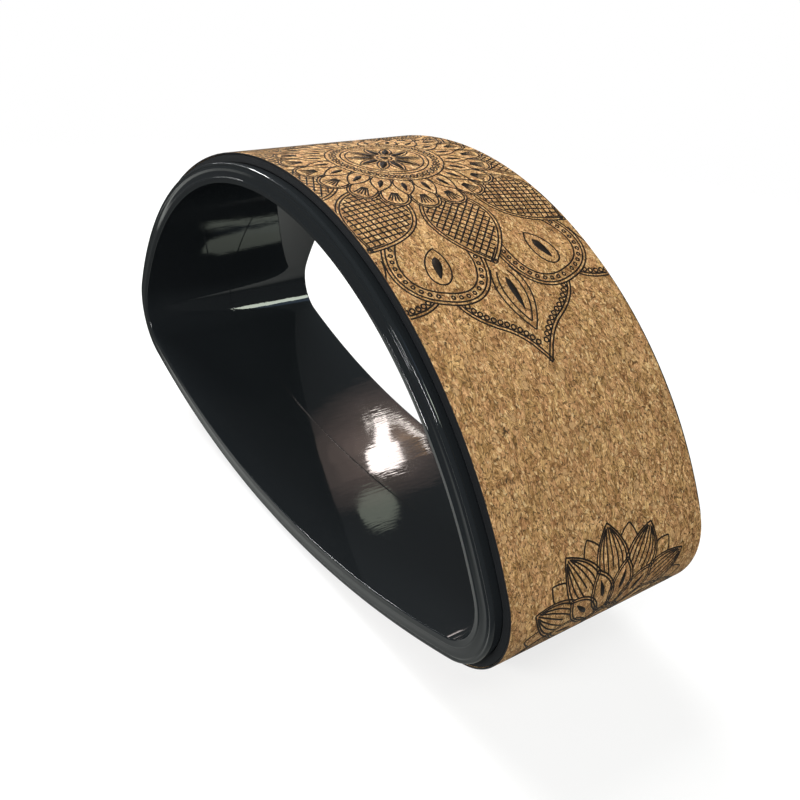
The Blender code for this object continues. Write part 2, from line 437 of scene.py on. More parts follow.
def grow(name, tree, values):
    """Runs a geometry tree and returns its result as a plain mesh object, faces outwards."""
    host = bpy.data.objects.new("host", bpy.data.meshes.new("host"))
    scene.collection.objects.link(host)
    modifier = host.modifiers.new("tree", "NODES")
    modifier.node_group = tree
    for item in tree.interface.items_tree:
        if item.in_out == "INPUT":
            modifier[item.identifier] = values[item.name]
    ready = host.evaluated_get(bpy.context.evaluated_depsgraph_get())
    mesh = bpy.data.meshes.new_from_object(ready)
    mesh.name = name
    host.modifiers.remove(modifier)
    bpy.data.objects.remove(host)

    work = bmesh.new()
    work.from_mesh(mesh)
    volume = work.calc_volume(signed=True)
    if volume < 0:
        bmesh.ops.reverse_faces(work, faces=work.faces)
    loose = sum(not edge.is_manifold for edge in work.edges)
    work.to_mesh(mesh)
    work.free()
    made = bpy.data.objects.new(name, mesh)
    scene.collection.objects.link(made)
    mesh.calc_loop_triangles()
    reach = [vertex.co.y * 1000 for vertex in mesh.vertices]
    print(f"{name}: {len(mesh.loop_triangles)} triangles, {abs(volume) * 1e6:.1f} cm3, "
          f"y {min(reach):.2f} to {max(reach):.2f} mm, {loose} open edges")
    return made


# %% [markdown]
# ## Glossy moulded ABS
# Both halves are injection moulded from black ABS in a polished tool. The plastic is almost
# without colour of its own: what the eye sees is what it mirrors, a little blurred. Thin walls
# cool unevenly, so the mirror is slightly wavy, and handling leaves a haze that comes and goes.

# %% ABS material
shell_black, tree, output = new_material("glossy_moulded_abs")
place = add_node(tree, "ShaderNodeTexCoord")
# Waves 70 mm long come from shrinking. The tool was stroked across in lines 2 mm apart, which
# streaks the mirror image, but its rims were polished by hand and are nearly free of them
waves = add_node(tree, "ShaderNodeTexNoise", {
    "Vector": place.outputs["Object"], "Scale": 1 / 0.070, "Detail": 1.0, "Roughness": 0.3})
polish = add_node(tree, "ShaderNodeMapping", {
    "Vector": place.outputs["Object"], "Scale": (1 / 0.002, 1 / 0.014, 1 / 0.002)})
ripples = add_node(tree, "ShaderNodeTexNoise", {
    "Vector": polish.outputs["Vector"], "Scale": 1.0, "Detail": 2.0, "Roughness": 0.6})
apart = add_node(tree, "ShaderNodeSeparateXYZ", {"Vector": place.outputs["Object"]})
reach = add_node(tree, "ShaderNodeMath", {0: apart.outputs["Y"]}, operation="ABSOLUTE")
stroked = add_node(tree, "ShaderNodeMapRange", {
    "Value": reach.outputs["Value"], "From Min": 0.062, "From Max": 0.070,
    "To Min": 1.0, "To Max": 0.1})
wavy = add_node(tree, "ShaderNodeBump", {
    "Height": waves.outputs["Fac"], "Distance": 0.0004, "Strength": 1.0})
rippled = add_node(tree, "ShaderNodeBump", {
    "Height": ripples.outputs["Fac"], "Distance": 0.000026, "Strength": stroked.outputs["Result"],
    "Normal": wavy.outputs["Normal"]})
haze = add_node(tree, "ShaderNodeTexNoise", {
    "Vector": place.outputs["Object"], "Scale": 1 / 0.025, "Detail": 5.0, "Roughness": 0.6})
blur = add_node(tree, "ShaderNodeMapRange", {
    "Value": haze.outputs["Fac"], "From Min": 0.35, "From Max": 0.7,
    "To Min": 0.025, "To Max": 0.06})
shader = add_node(tree, "ShaderNodeBsdfPrincipled", {
    "Base Color": linear("#1a1d1f"), "Roughness": blur.outputs["Result"], "IOR": 1.5,
    "Normal": rippled.outputs["Normal"]})
tree.links.new(shader.outputs["BSDF"], output.inputs["Surface"])
print(f"{shell_black.name}: {len(tree.nodes)} nodes")

# %% [markdown]
# ## The two mouldings
# Each half has an inner skin, a rim with a round bead and a raised lip, and an outer skin that
# carries the foam. The hollow between the skins and the tongue of the lap joint are kept, though
# they only show when a half is lifted off. The ribs in the hollow are left to the CAD solids. The
# parting line inside is a hairline with soft edges.

# %% Front and rear moulding
front_profile = profile_curve("front_profile", front_section)
rear_profile = profile_curve("rear_profile", rear_section)
front_moulding = grow("front_moulding", sweep_tree, {
    "Outline": ring_path, "Section": front_profile, "Material": shell_black})
rear_moulding = grow("rear_moulding", sweep_tree, {
    "Outline": ring_path, "Section": rear_profile, "Material": shell_black})

# %% [markdown]
# ## Closed-cell foam
# The pad is a strip of black closed-cell foam. Only its two cut sides show, between the rims and
# the cork. Foam is matte: light goes into thousands of opened cells and little comes back, with a
# faint lighter sheen where the eye grazes it. The cells are about 0.5 mm across.

# %% Foam material
foam_black, tree, output = new_material("closed_cell_foam")
place = add_node(tree, "ShaderNodeTexCoord")
cells = add_node(tree, "ShaderNodeTexVoronoi", {
    "Vector": place.outputs["Object"], "Scale": 1 / 0.0005})
patches = add_node(tree, "ShaderNodeTexNoise", {
    "Vector": place.outputs["Object"], "Scale": 1 / 0.012, "Detail": 3.0})
tone = add_node(tree, "ShaderNodeMix", {
    "Factor": patches.outputs["Fac"], 6: linear("#0b0d0f"), 7: linear("#121518"),
}, data_type="RGBA")
pitted = add_node(tree, "ShaderNodeBump", {
    "Height": cells.outputs["Distance"], "Distance": 0.0002, "Strength": 0.7})
shader = add_node(tree, "ShaderNodeBsdfPrincipled", {
    "Base Color": tone.outputs[2], "Roughness": 0.92, "IOR": 1.45, "Sheen Weight": 0.02,
    "Sheen Roughness": 0.6, "Normal": pitted.outputs["Normal"]})
tree.links.new(shader.outputs["BSDF"], output.inputs["Surface"])
print(f"{foam_black.name}: {len(tree.nodes)} nodes")

# %% Foam strip
foam_profile = profile_curve("foam_profile", foam_section)
foam_strip = grow("foam_strip", sweep_tree, {
    "Outline": strip_path, "Section": foam_profile, "Material": foam_black})

# %% [markdown]
# ## Pressed cork
# Cork sheet is sliced from a block of ground bark and binder. The bark lies in flakes, pressed
# flat and drawn out along the strip, each with its own grain and a slightly different brown.
# Between them are crumbs, smooth pale pebbles, and slivers and knots of dark bark. A picture of
# cork would repeat, so it is drawn from patterns instead. Stretched Voronoi cells are the flakes,
# and their random values give each a tone and turn its grain. Everything reads the UV map, in
# metres, and follows the strip round.

# %% Cork flakes
cork_brown, tree, output = new_material("cork_agglomerate")
surface = add_node(tree, "ShaderNodeUVMap", uv_map="surface")


def shifted(vector, period, amount, detail):
    """A place on the cork moved about by a noise; gives the node with the new place."""
    noise = add_node(tree, "ShaderNodeTexNoise", {
        "Vector": surface.outputs["UV"], "Scale": 1 / period, "Detail": detail})
    centred = add_node(tree, "ShaderNodeVectorMath", {
        0: noise.outputs["Color"], 1: (0.5, 0.5, 0.5)}, operation="SUBTRACT")
    return add_node(tree, "ShaderNodeVectorMath", {
        0: centred.outputs["Vector"], 1: (amount, amount, 0), 2: vector,
    }, operation="MULTIPLY_ADD")


def mosaic(vector, length, width):
    """Cells of a length and a width: their map, their pattern and their random values."""
    counted = add_node(tree, "ShaderNodeVectorMath", {
        0: vector, 1: (1 / length, 1 / width, 1)}, operation="MULTIPLY")
    pattern = add_node(tree, "ShaderNodeTexVoronoi", {
        "Vector": counted.outputs["Vector"], "Scale": 1.0}, voronoi_dimensions="2D")
    chance = add_node(tree, "ShaderNodeSeparateColor", {"Color": pattern.outputs["Color"]})
    return counted.outputs["Vector"], pattern, chance


def fibres(vector, length, width, detail, roughness):
    """A level that wanders from 0 to 1, drawn out to a length and a width."""
    counted = add_node(tree, "ShaderNodeVectorMath", {
        0: vector, 1: (1 / length, 1 / width, 1)}, operation="MULTIPLY")
    noise = add_node(tree, "ShaderNodeTexNoise", {
        "Vector": counted.outputs["Vector"], "Scale": 1.0, "Detail": detail,
        "Roughness": roughness}, noise_dimensions="2D")
    return noise.outputs["Fac"]


# Flakes swerve round their neighbours over 12 mm, and their borders are frayed over 1.3 mm
swerved = shifted(surface.outputs["UV"], 0.012, 0.0045, 1.0)
frayed = shifted(swerved.outputs["Vector"], 0.0013, 0.0010, 2.0)

# A flake is 4.2 mm long and 2.0 mm wide, with broken dark lines of binder along its border
flake_map, _, flake = mosaic(frayed.outputs["Vector"], 0.0042, 0.0020)
borders = add_node(tree, "ShaderNodeTexVoronoi", {
    "Vector": flake_map, "Scale": 1.0}, voronoi_dimensions="2D", feature="DISTANCE_TO_EDGE")

# The bark's grain is 2.4 mm long and 0.6 mm wide, turned by each flake's own angle
grain_angle = add_node(tree, "ShaderNodeMapRange", {
    "Value": flake.outputs["Green"], "To Min": -0.9, "To Max": 0.9})
grain_turn = add_node(tree, "ShaderNodeVectorRotate", {
    "Vector": swerved.outputs["Vector"], "Angle": grain_angle.outputs["Result"]},
    rotation_type="Z_AXIS")
grain = fibres(grain_turn.outputs["Vector"], 0.0024, 0.0006, 3.0, 0.62)
grain_level = add_node(tree, "ShaderNodeMapRange", {
    "Value": grain, "From Min": 0.32, "From Max": 0.68, "To Min": 0.0, "To Max": 1.0})

# Crumbs of about 1 mm break up the flakes
crumb = mosaic(frayed.outputs["Vector"], 0.0013, 0.0009)[2]
print(f"{cork_brown.name}: flakes, grain and crumbs")

# %% Cork tones
flake_tone = add_node(tree, "ShaderNodeMix", {
    "Factor": 0.50, 2: flake.outputs["Red"], 3: grain_level.outputs["Result"],
}, data_type="FLOAT")
tone = add_node(tree, "ShaderNodeMix", {
    "Factor": 0.30, 2: flake_tone.outputs[0], 3: crumb.outputs["Red"],
}, data_type="FLOAT")
tones = add_node(tree, "ShaderNodeValToRGB", {"Fac": tone.outputs[0]})
CORK_TONES = [
    (0.08, "#553b20"), (0.26, "#7c5c36"), (0.42, "#967449"),
    (0.56, "#a8865a"), (0.72, "#bb9767"), (0.92, "#dcb984"),
]
ramp = tones.color_ramp
for element, (position, code) in zip(ramp.elements, (CORK_TONES[0], CORK_TONES[-1])):
    element.position = position
    element.color = linear(code)
for position, code in CORK_TONES[1:-1]:
    ramp.elements.new(position).color = linear(code)

hue = add_node(tree, "ShaderNodeMapRange", {
    "Value": flake.outputs["Blue"], "To Min": 0.488, "To Max": 0.501})
tinted = add_node(tree, "ShaderNodeHueSaturation", {
    "Color": tones.outputs["Color"], "Hue": hue.outputs["Result"], "Saturation": 1.04})
print(f"{cork_brown.name}: {len(CORK_TONES)} tones")

# %% Cork pebbles, slivers and knots


def painted(under, mask, code, share):
    """Lays a colour over another one where a mask says so; gives the new colour."""
    factor = add_node(tree, "ShaderNodeMath", {0: mask, 1: share}, operation="MULTIPLY")
    laid = add_node(tree, "ShaderNodeMix", {
        "Factor": factor.outputs["Value"], 6: under, 7: linear(code)}, data_type="RGBA")
    return laid.outputs[2]


def mask_of(*steps):
    """A mask that is 1 where each value has passed its step, from 0 at low to 1 at high."""
    mask = 1.0
    for value, low, high in steps:
        passed = add_node(tree, "ShaderNodeMapRange", {
            "Value": value, "From Min": low, "From Max": high})
        product = add_node(tree, "ShaderNodeMath", {
            0: passed.outputs["Result"], 1: mask}, operation="MULTIPLY")
        mask = product.outputs["Value"]
    return mask


# Pebbles of smooth pale cork are about 4 mm long and lie in one cell out of nine
_, pebbles, pebble = mosaic(frayed.outputs["Vector"], 0.0062, 0.0045)
picked = (pebble.outputs["Red"], 0.88, 0.89)
pebble_body = mask_of(picked, (pebbles.outputs["Distance"], 0.36, 0.31))
pebble_rim = mask_of(picked, (pebbles.outputs["Distance"], 0.44, 0.38))

# Slivers of bark are 3 mm long and half a millimetre thin, dark ones and pale ones
sliver = fibres(grain_turn.outputs["Vector"], 0.0030, 0.0006, 1.0, 0.5)

# Knots of nearly black bark are a few millimetres long, ragged and rare
knot_map = add_node(tree, "ShaderNodeVectorMath", {
    0: surface.outputs["UV"], 1: (1 / 0.0100, 1 / 0.0065, 1)}, operation="MULTIPLY")
knot_places = add_node(tree, "ShaderNodeTexNoise", {
    "Vector": knot_map.outputs["Vector"], "Scale": 1.0, "Detail": 1.0})
knot_shape = add_node(tree, "ShaderNodeTexNoise", {
    "Vector": frayed.outputs["Vector"], "Scale": 1 / 0.0012, "Detail": 3.0, "Roughness": 0.7})
knot_sum = add_node(tree, "ShaderNodeMath", {
    0: knot_places.outputs["Fac"], 1: knot_shape.outputs["Fac"]}, operation="ADD")
knot = mask_of((knot_sum.outputs["Value"], 1.26, 1.30))

border = mask_of((borders.outputs["Distance"], 0.12, 0.05), (knot_shape.outputs["Fac"], 0.50, 0.56))
colour = painted(tinted.outputs["Color"], border, "#38260f", 0.85)
colour = painted(colour, pebble_rim, "#6b4d2b", 0.6)
colour = painted(colour, pebble_body, "#c49e6e", 0.6)
colour = painted(colour, mask_of((sliver, 0.29, 0.27)), "#dcbb88", 0.7)
colour = painted(colour, mask_of((sliver, 0.68, 0.70)), "#34230f", 0.85)
colour = painted(colour, mask_of((crumb.outputs["Green"], 0.94, 0.95)), "#40290f", 0.6)
colour = painted(colour, mask_of((crumb.outputs["Blue"], 0.955, 0.96)), "#e0c492", 0.5)
colour = painted(colour, knot, "#2b1e10", 0.9)
print(f"{cork_brown.name}: pebbles, slivers and knots")

# %% Cork shades, sealed edges and relief
# Grit of 0.6 mm breaks up every flake, and the sheet as a whole is cloudy over 18 mm
grit = add_node(tree, "ShaderNodeTexVoronoi", {
    "Vector": frayed.outputs["Vector"], "Scale": 1 / 0.0006}, voronoi_dimensions="2D")
grit_level = add_node(tree, "ShaderNodeMapRange", {
    "Value": grit.outputs["Color"], "To Min": 0.86, "To Max": 1.14})
clouds = add_node(tree, "ShaderNodeTexNoise", {
    "Vector": surface.outputs["UV"], "Scale": 1 / 0.018, "Detail": 2.0})
cloud_level = add_node(tree, "ShaderNodeMapRange", {
    "Value": clouds.outputs["Fac"], "From Min": 0.3, "From Max": 0.7,
    "To Min": 0.95, "To Max": 1.05})
shade = add_node(tree, "ShaderNodeMath", {
    0: grit_level.outputs["Result"], 1: cloud_level.outputs["Result"]}, operation="MULTIPLY")
shaded = add_node(tree, "ShaderNodeVectorMath", {
    0: colour, 1: shade.outputs["Value"]}, operation="MULTIPLY")

# The strip's cut edges are sealed black, up to the round where the broad face begins
SEALED_EDGE = 0.00008
place = add_node(tree, "ShaderNodeSeparateXYZ", {"Vector": surface.outputs["UV"]})
reach = add_node(tree, "ShaderNodeMath", {0: place.outputs["Y"]}, operation="ABSOLUTE")
sealed = add_node(tree, "ShaderNodeMath", {
    0: reach.outputs["Value"], 1: BAND_REACH - SEALED_EDGE}, operation="GREATER_THAN")
cork_colour = painted(shaded.outputs["Vector"], sealed.outputs["Value"], "#17181a", 1.0)

raised = add_node(tree, "ShaderNodeMath", {
    0: tone.outputs[0], 1: border}, operation="SUBTRACT")
sunk = add_node(tree, "ShaderNodeMath", {
    0: raised.outputs["Value"], 1: knot}, operation="SUBTRACT")
rough_face = add_node(tree, "ShaderNodeBump", {
    "Height": sunk.outputs["Value"], "Distance": 0.00012, "Strength": 0.8})
shader = add_node(tree, "ShaderNodeBsdfPrincipled", {
    "Base Color": cork_colour, "Roughness": 0.66, "IOR": 1.45,
    "Normal": rough_face.outputs["Normal"]})
tree.links.new(shader.outputs["BSDF"], output.inputs["Surface"])
print(f"{cork_brown.name}: {len(tree.nodes)} nodes")

# %% Cork strip
cork_profile = profile_curve("cork_profile", cork_section)
cork_strip = grow("cork_strip", sweep_tree, {
    "Outline": strip_path, "Section": cork_profile, "Material": cork_brown})

# %% [markdown]
# ## Printed ornament
# The cork carries a line drawing in dark ink: rings of petals round a rosette on the crown, and a
# smaller flower over each corner. The drawing here is a general one of that kind, made of simple
# curves. Ink is thinner than a hair, so each stroke is a ribbon that stands less than 0.06 mm
# above the cork. A ribbon keeps its edges sharp however near the eye comes.
# A ring repeats one motif and follows the surface, so Geometry Nodes do both: instances turn the
# motif round the centre, strokes beyond the cork's edges are taken out, and each point is then
# laid on the outline by its distance along it.

# %% Tree that prints a ring of one motif
print_tree, given = new_tree("print_ring_of_motifs", {
    "Motif": "Object", "Strip": "Object", "Count": "Int", "Turn": "Float", "Centre": "Float",
    "Stroke width": "Float", "Top inset": "Float", "Bottom inset": "Float",
    "Reach limit": "Float", "Material": "Material"})

motif = add_node(print_tree, "GeometryNodeObjectInfo", {"Object": given["Motif"]})
spots = add_node(print_tree, "GeometryNodePoints", {"Count": given["Count"]})
index = add_node(print_tree, "GeometryNodeInputIndex")
share = add_node(print_tree, "ShaderNodeMath", {
    0: index.outputs["Index"], 1: given["Count"]}, operation="DIVIDE")
angle = add_node(print_tree, "ShaderNodeMath", {
    0: share.outputs["Value"], 1: 2 * math.pi, 2: given["Turn"]}, operation="MULTIPLY_ADD")
spin = add_node(print_tree, "ShaderNodeCombineXYZ", {"Z": angle.outputs["Value"]})
ring = add_node(print_tree, "GeometryNodeInstanceOnPoints", {
    "Points": spots.outputs["Points"], "Instance": motif.outputs["Geometry"],
    "Rotation": spin.outputs["Vector"]})
drawn = add_node(print_tree, "GeometryNodeRealizeInstances", {
    "Geometry": ring.outputs["Instances"]})

# Strokes become bare edges for a moment, so that those beyond the cork's edge can be taken out
radius = add_node(print_tree, "GeometryNodeInputRadius")
noted = add_node(print_tree, "GeometryNodeCaptureAttribute")
noted.capture_items.new("FLOAT", "Width")
print_tree.links.new(drawn.outputs["Geometry"], noted.inputs["Geometry"])
print_tree.links.new(radius.outputs["Radius"], noted.inputs["Width"])
wire = add_node(print_tree, "GeometryNodeCurveToMesh", {"Curve": noted.outputs["Geometry"]})
here = add_node(print_tree, "GeometryNodeInputPosition")
flat = add_node(print_tree, "ShaderNodeSeparateXYZ", {"Vector": here.outputs["Position"]})
reach = add_node(print_tree, "ShaderNodeMath", {0: flat.outputs["Y"]}, operation="ABSOLUTE")
beyond = add_node(print_tree, "FunctionNodeCompare", {
    0: reach.outputs["Value"], 1: given["Reach limit"]}, operation="GREATER_THAN")
cut = add_node(print_tree, "GeometryNodeDeleteGeometry", {
    "Geometry": wire.outputs["Mesh"], "Selection": beyond.outputs["Result"]}, domain="EDGE")

# A flat nib follows each stroke; its size is the stroke's width at that point
strokes = add_node(print_tree, "GeometryNodeMeshToCurve", {"Mesh": cut.outputs["Geometry"]})
level = add_node(print_tree, "GeometryNodeSetCurveNormal", {
    "Curve": strokes.outputs["Curve"]}, mode="Z_UP")
nib = add_node(print_tree, "GeometryNodeCurvePrimitiveQuadrilateral", {
    "Width": given["Stroke width"], "Height": 0.0001})
ribbons = add_node(print_tree, "GeometryNodeCurveToMesh", {
    "Curve": level.outputs["Curve"], "Profile Curve": nib.outputs["Curve"],
    "Scale": noted.outputs["Width"], "Fill Caps": True})

# Each point is laid on the wheel; plus x of the drawing is plus x on the crown
along = add_node(print_tree, "ShaderNodeMath", {
    0: given["Centre"], 1: flat.outputs["X"]}, operation="SUBTRACT")
low_limit = add_node(print_tree, "ShaderNodeMath", {
    0: given["Reach limit"], 1: -1.0}, operation="MULTIPLY")
across = add_node(print_tree, "ShaderNodeClamp", {
    "Value": flat.outputs["Y"], "Min": low_limit.outputs["Value"], "Max": given["Reach limit"]})
pair = add_node(print_tree, "ShaderNodeCombineXYZ", {
    "X": along.outputs["Value"], "Y": across.outputs["Result"]})
mapped = add_node(print_tree, "GeometryNodeStoreNamedAttribute", {
    "Geometry": ribbons.outputs["Mesh"], "Name": "surface", "Value": pair.outputs["Vector"],
}, data_type="FLOAT2", domain="CORNER")
strip = add_node(print_tree, "GeometryNodeObjectInfo", {"Object": given["Strip"]})
spot = add_node(print_tree, "GeometryNodeSampleCurve", {
    "Curves": strip.outputs["Geometry"], "Length": along.outputs["Value"]}, mode="LENGTH")
outwards = add_node(print_tree, "ShaderNodeVectorMath", {
    0: spot.outputs["Tangent"], 1: (0, 0, 1)}, operation="CROSS_PRODUCT")
upper = add_node(print_tree, "FunctionNodeCompare", {
    0: flat.outputs["Z"], 1: 0.0}, operation="GREATER_THAN")
depth = add_node(print_tree, "GeometryNodeSwitch", {
    "Switch": upper.outputs["Result"], "False": given["Bottom inset"],
    "True": given["Top inset"]}, input_type="FLOAT")
inwards = add_node(print_tree, "ShaderNodeMath", {
    0: depth.outputs["Output"], 1: -1.0}, operation="MULTIPLY")
offset = add_node(print_tree, "ShaderNodeVectorMath", {
    0: outwards.outputs["Vector"], "Scale": inwards.outputs["Value"]}, operation="SCALE")
laid = add_node(print_tree, "ShaderNodeVectorMath", {
    0: spot.outputs["Position"], 1: offset.outputs["Vector"]}, operation="ADD")
side = add_node(print_tree, "ShaderNodeSeparateXYZ", {"Vector": laid.outputs["Vector"]})
final = add_node(print_tree, "ShaderNodeCombineXYZ", {
    "X": side.outputs["X"], "Y": across.outputs["Result"], "Z": side.outputs["Y"]})
bent = add_node(print_tree, "GeometryNodeSetPosition", {
    "Geometry": mapped.outputs["Geometry"], "Position": final.outputs["Vector"]})
end_tree(print_tree, bent.outputs["Geometry"], given["Material"])
print(f"print tree of {len(print_tree.nodes)} nodes")

# %% [markdown]
# The drawing itself is made with a few pens, in millimetres, with the ornament's centre at zero and
# each motif pointing along x. Where petals overlap, the one in front hides the lines behind it, as
# a draughtsman would draw them, so lines are cut where they pass under another petal.

# %% Pens for the drawing


def bend(start, first_pull, second_pull, end, steps=14):
    """A smooth stroke from start to end, drawn towards two points on its way."""
    line = []
    for step in range(steps + 1):
        t = step / steps
        weights = ((1 - t) ** 3, 3 * t * (1 - t) ** 2, 3 * t * t * (1 - t), t ** 3)
        points = (start, first_pull, second_pull, end)
        line.append(tuple(sum(w * p[axis] for w, p in zip(weights, points)) for axis in (0, 1)))
    return line


def circle(x, y, radius, steps=12, width=1.0):
    """A closed round stroke."""
    line = []
    for step in range(steps):
        angle = 2 * math.pi * step / steps
        line.append((x + radius * math.cos(angle), y + radius * math.sin(angle), width))
    return line + line[:1]


def drop(start, end, half_width, steps=7):
    """A filled drop along x, made of one stroke that swells and tapers."""
    line = []
    for step in range(steps + 1):
        t = step / steps
        swell = math.sin(math.pi * (0.06 + 0.88 * t ** 0.7))
        line.append((start + (end - start) * t, 0.0, 2 * half_width * swell / STROKE_MM))
    return line


def mirror(line):
    """The same stroke on the other side of the x axis."""
    return [(point[0], -point[1], *point[2:]) for point in line]


def parallel(line, distance):
    """A stroke beside another one, on its right where the distance is positive."""
    beside = []
    for index, point in enumerate(line):
        before = line[max(index - 1, 0)]
        after = line[min(index + 1, len(line) - 1)]
        way = Vector((after[0] - before[0], after[1] - before[1])).normalized()
        beside.append((point[0] + way.y * distance, point[1] - way.x * distance))
    return beside


def spread(line, spacing):
    """Places at even distances along a stroke."""
    places, walked = [], spacing / 2
    for start, end in zip(line, line[1:]):
        length = math.dist(start[:2], end[:2])
        while walked < length:
            share = walked / length
            places.append(tuple(a + (b - a) * share for a, b in zip(start[:2], end[:2])))
            walked += spacing
        walked -= length
    return places


def turned(line, degrees):
    """A stroke turned about the ornament's centre."""
    cosine, sine = math.cos(math.radians(degrees)), math.sin(math.radians(degrees))
    return [(p[0] * cosine - p[1] * sine, p[0] * sine + p[1] * cosine, *p[2:]) for p in line]


def inside(point, area):
    """Whether a point lies inside a closed area."""
    within = False
    for a, b in zip(area, area[1:] + area[:1]):
        if (a[1] > point[1]) != (b[1] > point[1]):
            if point[0] < a[0] + (b[0] - a[0]) * (point[1] - a[1]) / (b[1] - a[1]):
                within = not within
    return within


def clip(lines, areas, keep_inside=False):
    """The parts of strokes outside all areas, or inside the one area given."""
    def shows(point):
        return any(inside(point, area) for area in areas) == keep_inside

    def last_seen(seen, hidden):
        for _ in range(7):
            middle = tuple((a + b) / 2 for a, b in zip(seen, hidden))
            seen, hidden = (middle, hidden) if shows(middle) else (seen, middle)
        return seen

    runs = []
    for line in lines:
        run = []
        for before, point in zip([None] + line[:-1], line):
            if shows(point):
                if not run and before is not None:
                    run.append(last_seen(point, before))
                run.append(point)
            elif run:
                run.append(last_seen(run[-1], point))
                runs.append(run)
                run = []
        if len(run) > 1:
            runs.append(run)
    return runs


STROKE_MM = 0.92
print(f"pens {STROKE_MM} mm wide")

# %% Petal shapes of the crown ornament
FOLDS = 10
SECTOR = 360 / FOLDS


def area_of(edge):
    """The closed area between a petal's edge and its mirror image."""
    return [point[:2] for point in edge] + [point[:2] for point in mirror(edge)[::-1]]


lancet_edge = bend((34.5, 4.6), (40.5, 7.4), (46.0, 4.2), (51.5, 0.0))
arch_edge = bend((42.0, 7.2), (54.0, 10.6), (63.0, 8.6), (63.0, 0.0), 18)
leaf_edge = bend((50.0, 9.0), (70.0, 29.0), (90.0, 22.0), (109.0, 0.0), 36)
shell_edge = bend((72.0, 14.0), (104.0, 38.0), (134.0, 30.0), (133.0, 0.0), 44)
ogee_edge = bend((98.0, 22.0), (116.0, 46.0), (134.0, 40.0), (146.0, 19.0), 34)
ogee_edge += bend((146.0, 19.0), (152.0, 8.6), (160.0, 4.6), (168.0, 0.0), 16)[1:]

lancets = [turned(area_of(lancet_edge), SECTOR / 2 * n) for n in range(-2, 3)]
arches = [turned(area_of(arch_edge), SECTOR / 2 * (n + 0.5)) for n in range(-3, 3)]
leaves = [turned(area_of(leaf_edge), SECTOR * n) for n in range(-1, 2)]
shells = [turned(area_of(shell_edge), SECTOR * (n + 0.5)) for n in range(-2, 2)]
print(f"{FOLDS} petals in each large ring")

# %% Motifs of the crown ornament


def both(lines):
    """Strokes together with their mirror images."""
    return lines + [mirror(line) for line in lines]


circles = [circle(0, 0, radius, max(24, int(radius * 4))) for radius in (4.4, 22.6, 25.4, 34.2)]
circles.append(circle(0, 0, 1.2, 10, 2.4 / STROKE_MM))
rosette = [drop(6.4, 19.6, 2.1)]
rosette += both([bend((6.0, 1.3), (12.0, 5.2), (17.5, 3.2), (21.4, 0.0), 9)])
bead = [circle(29.8, 0, 2.0, 11), circle(29.8, 0, 0.4, 6, 0.9 / STROKE_MM)]
lancet = both([lancet_edge]) + [drop(37.0, 46.5, 1.5)]

arch = both([arch_edge, parallel(arch_edge, 1.5)])
arch += [bend((50.0, y * 0.35), (53.0, y * 0.5), (56.0, y * 0.8), (58.6, y), 5)
         for y in (-4.0, -2.0, 0.0, 2.0, 4.0)]
arch = clip(arch, [turned(area, -SECTOR / 4) for area in lancets])

inner_leaf = parallel(leaf_edge, 1.9)
net_area = area_of(parallel(leaf_edge, 3.0))
net = []
for shift in range(-8, 30):
    start = 50.0 + shift * 5.0
    slant = [(start - 30 + step * 0.8, -30.0 + step * 0.8) for step in range(76)]
    net += clip([slant], [net_area], keep_inside=True)
leaf = both([leaf_edge, inner_leaf]) + net + [mirror(line) for line in net]
leaf = clip(leaf, lancets + arches)

shell = both([shell_edge, parallel(shell_edge, 1.9), parallel(shell_edge, 7.0)])
teardrop = bend((97.0, 0.0), (104.0, 9.5), (121.0, 8.5), (121.0, 0.0), 18)
shell += both([teardrop]) + [drop(103.0, 117.0, 2.6)]
shell += [circle(x, y, 1.0, 8) for x, y in spread(parallel(shell_edge, 4.5), 4.4)]
shell += [circle(x, -y, 1.0, 8) for x, y in spread(parallel(shell_edge, 4.5), 4.4)]
shell = clip(shell, [turned(area, -SECTOR / 2) for area in leaves + [turned(leaves[-1], SECTOR)]]
             + [turned(area, -SECTOR / 2) for area in arches])

ogee = both([ogee_edge, parallel(ogee_edge, 1.8)])
ogee += [circle(x, y, 1.35, 9) for x, y in spread(parallel(ogee_edge, 3.9)[:-6], 3.6)]
ogee += [circle(x, -y, 1.35, 9) for x, y in spread(parallel(ogee_edge, 3.9)[:-6], 3.6)]
ogee += both([bend((112.0, 6.0), (124.0, 13.0), (138.0, 9.0), (150.0, 0.0), 22)])
ogee += both([bend((114.0, 3.4), (124.0, 8.6), (136.0, 6.0), (145.0, 0.0), 18)])
ogee += [drop(118.0, 138.0, 2.0)]
ogee = clip(ogee, leaves + shells)
print(f"{sum(map(len, (circles, rosette, bead, lancet, arch, leaf, shell, ogee)))} strokes")

# %% Motifs of the corner flowers
CORNER_FOLDS = 12
blade_edge = bend((22.0, 5.5), (34.0, 15.5), (47.0, 11.5), (58.0, 0.0), 22)
inner_edge = bend((12.0, 3.0), (22.0, 10.5), (32.0, 8.0), (39.0, 0.0), 15)
hearts = [turned(area_of(inner_edge), 30 * (n + 0.5)) for n in range(-2, 2)]

blade = both([blade_edge]) + [[(x, 0.0) for x in (36, 40, 44, 48, 52, 56)]]
for reach_out in (0.28, 0.56, 0.82):
    blade += both([bend((26.0, 2.5), (34.0, 15.5 * reach_out), (46.0, 12.5 * reach_out),
                        (55.5, 1.0), 14)])
blade = clip(blade, hearts)
blade_areas = [turned(area_of(blade_edge), 30 * n) for n in range(-1, 2)]

